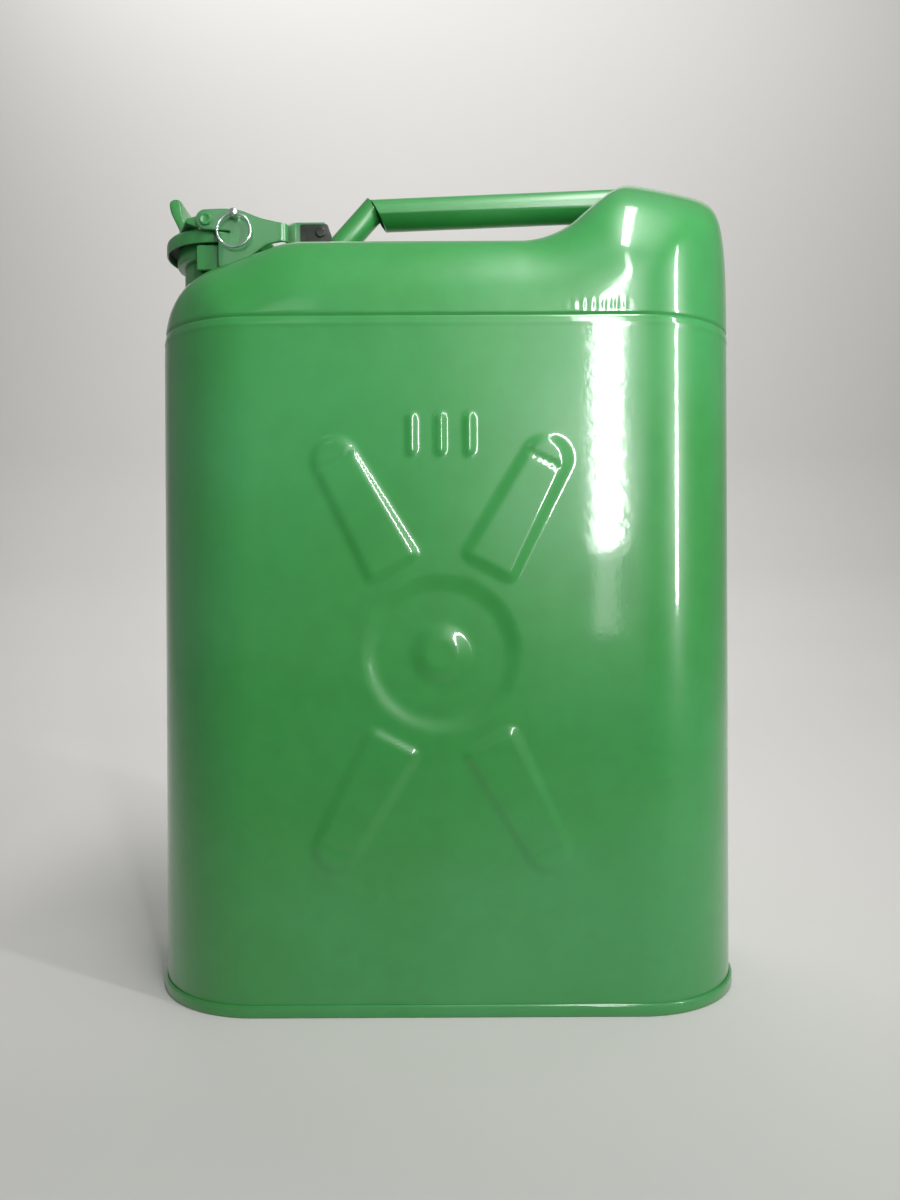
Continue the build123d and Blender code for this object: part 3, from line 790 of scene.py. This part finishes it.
LUG_SHEET = 2.0
LEG_TOP = 441.0
for side, name in SIDES:
    low, high = mm(f"neck_lug_{name}")
    y = sorted((side * 31.0, side * 33.0))
    face = [(low[0], low[2]), (high[0], low[2]), (high[0], high[2]), (low[0], high[2])]
    sheet = plate(f"lug_face_{name}", rounded(face, 1.2), *y, 0.45)
    leg_y = sorted((side * 12.0, side * 32.6))
    legs = []
    for x in (low[0], 2 * NECK_X - low[0] - LUG_SHEET):
        leg = [(x, low[2]), (x + LUG_SHEET, low[2]), (x + LUG_SHEET, LEG_TOP), (x, LEG_TOP)]
        legs.append(plate(f"leg_{x:.0f}", rounded(leg, 0.5), *leg_y, 0.3))
    lug = join(f"lug_sheet_{name}", sheet, *legs)
    dress(lug, "can", green_small, "green_paint", f"neck_lug_{name}")

# ---------------------------------------------------------------- closure

TRUNNION = (-143.6, 460.2)
CATCH = (-125.9, 462.2)
lid_top = mm("lid_gasket")[1][2] + 1.2


def trunnion_arc(radius, start, end, count):
    return [
        (TRUNNION[0] + radius * math.cos(a), TRUNNION[1] + radius * math.sin(a))
        for a in np.linspace(start, end, count)
    ]


def lid_mesh():
    """The cap over the mouth, with the two ears that hang on the rivets."""
    r, skirt, ear_r = 35.0, 1.2, 5
    cap = lathe(
        "cap",
        [(0.001, lid_top), (20, lid_top), (21.5, lid_top - 0.35), (26, lid_top - 0.35),
         (27.5, lid_top), (r - 2.6, lid_top), (r - 1.2, lid_top - 0.45), (r - 0.35, lid_top - 1.4),
         (r, lid_top - 2.8), (r, 449.4), (r - 0.15, 448.4), (r - 0.6, 448.0), (r - 1.05, 448.4),
         (r - skirt, 449.4), (r - skirt, lid_top - skirt), (0.001, lid_top - skirt)],
        (NECK_X, 0, 0), (0, 0, 1), 128,
    )
    ears = []
    for side in (-1, 1):
        y = sorted((side * 30.7, side * 32.3))
        outline = trunnion_arc(ear_r, 0, math.pi, 16)
        outline += [(TRUNNION[0] - ear_r, lid_top - 0.8), (TRUNNION[0] + ear_r, lid_top - 0.8)]
        ears.append(plate(f"ear_{side}", outline, *y, 0.35))
    return join("lid_cap", cap, *ears)


dress(lid_mesh(), "closure", green_small, "green_paint", "lid")


def yoke_strip():
    """The folded plate: front cheek, bridge and back cheek, cut flat and then bent."""
    cheek, half, bend = 38.3, 1.0, 3.2
    x_bridge = -95.5
    turn = bend * math.pi / 2
    straight = x_bridge - bend
    across = 2 * (cheek - bend)
    middle = straight + turn + across / 2

    def mirrored(points):
        return [(2 * middle - x, z) for x, z in points]

    top = trunnion_arc(6, -math.pi / 2, -3 * math.pi / 2, 22)
    brow = curve_through([
        (-143.6, 466.2), (-137, 466.45), (-131.0, 466.5), (-126, 466.0), (-121.0, 464.9),
        (-110.5, 460.8), (straight, 458.0),
    ])
    belly = curve_through([
        (straight, 446.6), (-107.5, 444.3), (-117.0, 437.6), (-122.5, 433.6), (-127.5, 430.9),
    ])
    rise = (straight + turn, 457.9)
    front = top + brow[1:] + [rise, (middle - 10.7, 469.3), (middle, 469.3)]
    lower = [(middle, 452.2), (middle - 10.7, 452.2), (straight + turn, 447.0)] + belly
    lower += [
        (-131, 430.7), (-134.4, 431.0), (-135.7, 432.3), (-136.0, 434.0), (-136.0, 452.2),
        (-135.4, 452.9), (-129.4, 451.8), (-129.0, 452.4), (-129.6, 453.1),
    ]
    outline = front + mirrored(front[::-1][1:]) + mirrored(lower[::-1]) + lower[1:]
    rivet_hole = circle(TRUNNION, 2.7)
    holes = [rivet_hole, mirrored(rivet_hole), circle(CATCH, 1.6)]
    flat = plate("yoke_fold", outline, -half, half, 0.6, holes)
    bm = bmesh.new()
    bm.from_mesh(flat.data)
    cuts = []
    for run in (np.linspace(straight, straight + turn, 9), np.linspace(-140, straight, 12)):
        cuts += [*run, *(2 * middle - run)]
    for s in cuts:
        geom = bm.verts[:] + bm.edges[:] + bm.faces[:]
        bmesh.ops.bisect_plane(bm, geom=geom, plane_co=(s * MM, 0, 0), plane_no=(1, 0, 0))
    for v in bm.verts:
        s, w = v.co.x / MM, v.co.y / MM
        mirror = s > middle
        s = 2 * middle - s if mirror else s
        if s <= straight:
            x, y = s, -cheek
            nx, ny = 0.0, 1.0
        elif s <= straight + turn:
            a = (s - straight) / bend
            x, y = straight + bend * math.sin(a), -cheek + bend * (1 - math.cos(a))
            nx, ny = -math.sin(a), math.cos(a)
        else:
            x, y = x_bridge, -cheek + bend + (s - straight - turn)
            nx, ny = -1.0, 0.0
        x, y = x + w * nx, y + w * ny
        v.co.x, v.co.y = x * MM, (-y if mirror else y) * MM
    bm.to_mesh(flat.data)
    bm.free()
    return smooth(flat, 40)


fold = yoke_strip()
arms = []
for side in (-1, 1):
    y = sorted((side * 8.7, side * 10.7))
    outline = [
        (-95.0, 455.7), (-95.0, 469.4), (-76.0, 469.4), (-73.5, 467.0), (-73.5, 459.5),
        (-76.0, 457.0), (-88.0, 455.7),
    ]
    hole = circle((-78.2, 462.1), 2.1)
    arms.append(plate(f"arm_{side}", rounded(outline, 1.6), *y, 0.4, [hole]))
dress(join("yoke_plate", fold, *arms), "closure", closure_paint, "green_paint", "closure_yoke")

for side, name in SIDES:
    head = lathe(
        f"rivet_{name}",
        [(0.001, 0.0), (2.5, 0.0), (2.5, 8.6), (3.9, 8.6), (3.9, 9.2), (3.5, 9.9), (2.6, 10.0),
         (1.7, 9.5), (0.001, 9.4)],
        (TRUNNION[0], side * 30.7, TRUNNION[1]), (0, side, 0), 48,
    )
    dress(head, "closure", green_small, "green_paint", f"trunnion_rivet_{name}")


def lever_mesh():
    """Two hooked arms, the web across them and the thumb roll."""
    outline = [
        (-156.0, 459.0), (-156.0, 461.4), (-150.0, 462.8), (-146.8, 464.4), (-143.6, 465.0),
        (-123.5, 465.0), (-121.8, 463.5), (-121.8, 460.2), (-127.2, 456.6), (-128.9, 452.0),
        (-128.9, 440.5), (-127.6, 439.4), (-121.6, 439.4), (-120.6, 438.4), (-120.6, 436.6),
        (-121.4, 435.8), (-131.5, 435.8), (-134.6, 438.5), (-135.2, 449.0), (-138.0, 454.6),
        (-143.6, 455.4), (-150.0, 456.6),
    ]
    holes = [circle(TRUNNION, 2.55), circle(CATCH, 1.55)]
    pieces = []
    for side in (-1, 1):
        y = sorted((side * 35.4, side * 37.0))
        pieces.append(plate(f"lever_arm_{side}", rounded(outline, 1.6), *y, 0.4, holes))
    web = [
        (-151.0, -36.8), (-156.0, -36.8), (-167.0, -13.8), (-167.0, 13.8), (-156.0, 36.8),
        (-151.0, 36.8),
    ]
    flat = plate("web", rounded(web, 2.0), -461.4, -459.4, 0.5)
    flat.data.transform(Matrix.Rotation(-math.pi / 2, 4, "X"))
    pieces.append(flat)
    tab = curve_through([
        (-165.9, 482.0), (-165.3, 479.0), (-164.4, 473.5), (-162.2, 467.5), (-159.4, 463.0),
        (-157.6, 461.2), (-160.0, 459.7), (-166.0, 459.7), (-166.8, 463.5), (-169.2, 468.8),
        (-171.6, 474.0), (-172.7, 478.5), (-172.3, 481.4), (-170.2, 482.8), (-167.6, 482.9),
        (-165.9, 482.0),
    ], 6)[:-1]
    pieces.append(plate("tab", tab, -14.0, 14.0, 1.2))
    return join("lever_sheet", *pieces)


dress(lever_mesh(), "lever", green_small, "green_paint", "cam_lever")

pin = lathe(
    "pull_pin",
    [(0.001, 0), (1.2, 0), (1.5, 0.4), (1.5, 5.4), (2.2, 5.4), (2.6, 5.8), (2.6, 10.0), (2.3, 10.9),
     (1.6, 11.4), (0.001, 11.5)],
    (CATCH[0], -34.0, CATCH[1]), (0, -1, 0), 48,
)
dress(pin, "pin", plated, "zinc_plate", "locking_pin")


def ring_mesh():
    """The wire ring that hangs in the pin's head."""
    ring_r, wire_r, around, section = 10, 0.75, 96, 16
    centre = np.array([CATCH[0], -42.6, CATCH[1] - ring_r])
    verts = []
    for k in range(around):
        a = 2 * math.pi * k / around
        out = np.array([math.cos(a), 0, math.sin(a)])
        for i in range(section):
            b = 2 * math.pi * i / section
            across = np.array([0, wire_r * math.sin(b), 0])
            verts.append(centre + out * (ring_r + wire_r * math.cos(b)) + across)
    return smooth(obj_from("wire_ring", verts, torus_faces(around, section)), 80)


dress(ring_mesh(), "ring", plated, "zinc_plate", "pull_ring")

for side, name in SIDES:
    y = sorted((side * 11.0, side * 13.0))
    outline = [(-90.9, 438.5), (-90.9, 467.4), (-74.0, 467.4), (-71.1, 459.5), (-71.1, 438.5)]
    up = plate(f"ear_up_{name}", rounded(outline, 1.0), *y, 0.4)
    y = sorted((side * 11.0, side * 20.0))
    outline = [(-90.9, 439.0), (-90.9, 442.0), (-71.1, 442.0), (-71.1, 439.0)]
    foot = plate(f"ear_foot_{name}", outline, *y, 0.4)
    # The ears take the near-black painted shade of the hinge.
    dress(join(f"ear_{name}", up, foot), "can", hinge_shade_black, "black_paint", f"hinge_ear_{name}")

# small or hidden CAD nodes that are shown as they are
for name, material in (
    ("lug_stud_front", steel), ("lug_stud_back", steel), ("breather_tube", steel),
    # the hinge pin takes the near-black painted shade of the hinge too
    ("hinge_pin", hinge_shade_black), ("lid_gasket", rubber),
):
    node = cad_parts[name]
    node.data.materials.clear()
    node.data.materials.append(material)

# ---------------------------------------------------------------- studio

sweep = [(-2.6, 0), (1.1, 0), (1.35, 0.03), (1.55, 0.12), (1.7, 0.3), (1.76, 0.6), (1.76, 3.2)]
verts = [(x, y, z) for y, z in sweep for x in (-3.0, 3.0)]
faces = [(2 * k, 2 * k + 1, 2 * k + 3, 2 * k + 2) for k in range(len(sweep) - 1)]
floor = obj_from("floor", verts, faces, 1.0)
for polygon in floor.data.polygons:
    polygon.use_smooth = True
pale, _, bsdf = nodes_of("studio_pale")
bsdf.inputs["Base Color"].default_value = (0.68, 0.665, 0.64, 1)
bsdf.inputs["Roughness"].default_value = 0.85
floor.data.materials.append(pale)


def light(name, place, aim, size, power, colour=(1, 1, 1), spread=180):
    data = bpy.data.lights.new(name, "AREA")
    data.shape = "RECTANGLE"
    data.size, data.size_y = size
    data.energy = power
    data.color = colour
    data.spread = math.radians(spread)
    lamp = bpy.data.objects.new(name, data)
    lamp.location = place
    lamp.rotation_euler = (Vector(aim) - Vector(place)).to_track_quat("-Z", "Y").to_euler()
    bpy.context.scene.collection.objects.link(lamp)
    return lamp


def strip(name, low, high, width, radiance, spread=75):
    """A narrow light between two points, turned towards the can."""
    low, high = Vector(low), Vector(high)
    centre = (low + high) / 2
    along = (high - low).normalized()
    back = centre - Vector((0.06, -0.06, 0.42))
    back = (back - along * back.dot(along)).normalized()
    length = (high - low).length
    lamp = light(name, centre, (0, 0, 0), (width, length), radiance * width * length, spread=spread)
    turned = Matrix((along.cross(back), along, back)).transposed().to_4x4()
    lamp.matrix_world = Matrix.Translation(centre) @ turned


strip("strip_tail", (0.253, -1.03, 0.17), (0.248, -1.0, 0.31), 0.040, 3.0)
strip("strip_front", (0.246, -1.0, 0.31), (0.240, -0.96, 0.80), 0.042, 34)
strip("strip_rise", (0.240, -0.96, 0.80), (0.236, -0.90, 1.36), 0.070, 34)
strip("strip_over", (0.236, -0.90, 1.34), (0.440, 0.05, 1.95), 0.12, 30, 90)
strip("strip_side", (0.97, -0.74, 0.22), (0.90, -0.68, 1.24), 0.055, 36)
strip("sheen", (-0.33, -1.10, 0.80), (-0.33, -1.10, 1.05), 0.20, 1.6)
backdrop = light("backdrop", (0.0, 0.9, 2.5), (0.25, 1.76, 0.9), (2.6, 0.6), 20, spread=130)
backdrop.visible_glossy = False

world = bpy.data.worlds.new("studio")
bpy.context.scene.world = world
world.use_nodes = True
world.node_tree.nodes["Background"].inputs["Color"].default_value = (0.84, 0.86, 0.88, 1)
world.node_tree.nodes["Background"].inputs["Strength"].default_value = 0.29

bpy.context.scene.view_settings.view_transform = "Standard"

camera_data = bpy.data.cameras.new("camera")
camera_data.lens = 27.9
camera_data.sensor_width = 36.0
camera = bpy.data.objects.new("camera", camera_data)
camera.location = (0.002, -0.5975, 0.2328)
camera.rotation_euler = (math.radians(90 - 0.18), math.radians(0.27), 0)
bpy.context.scene.collection.objects.link(camera)
bpy.context.scene.camera = camera

# ---------------------------------------------------------------- close
bpy.context.view_layer.update()
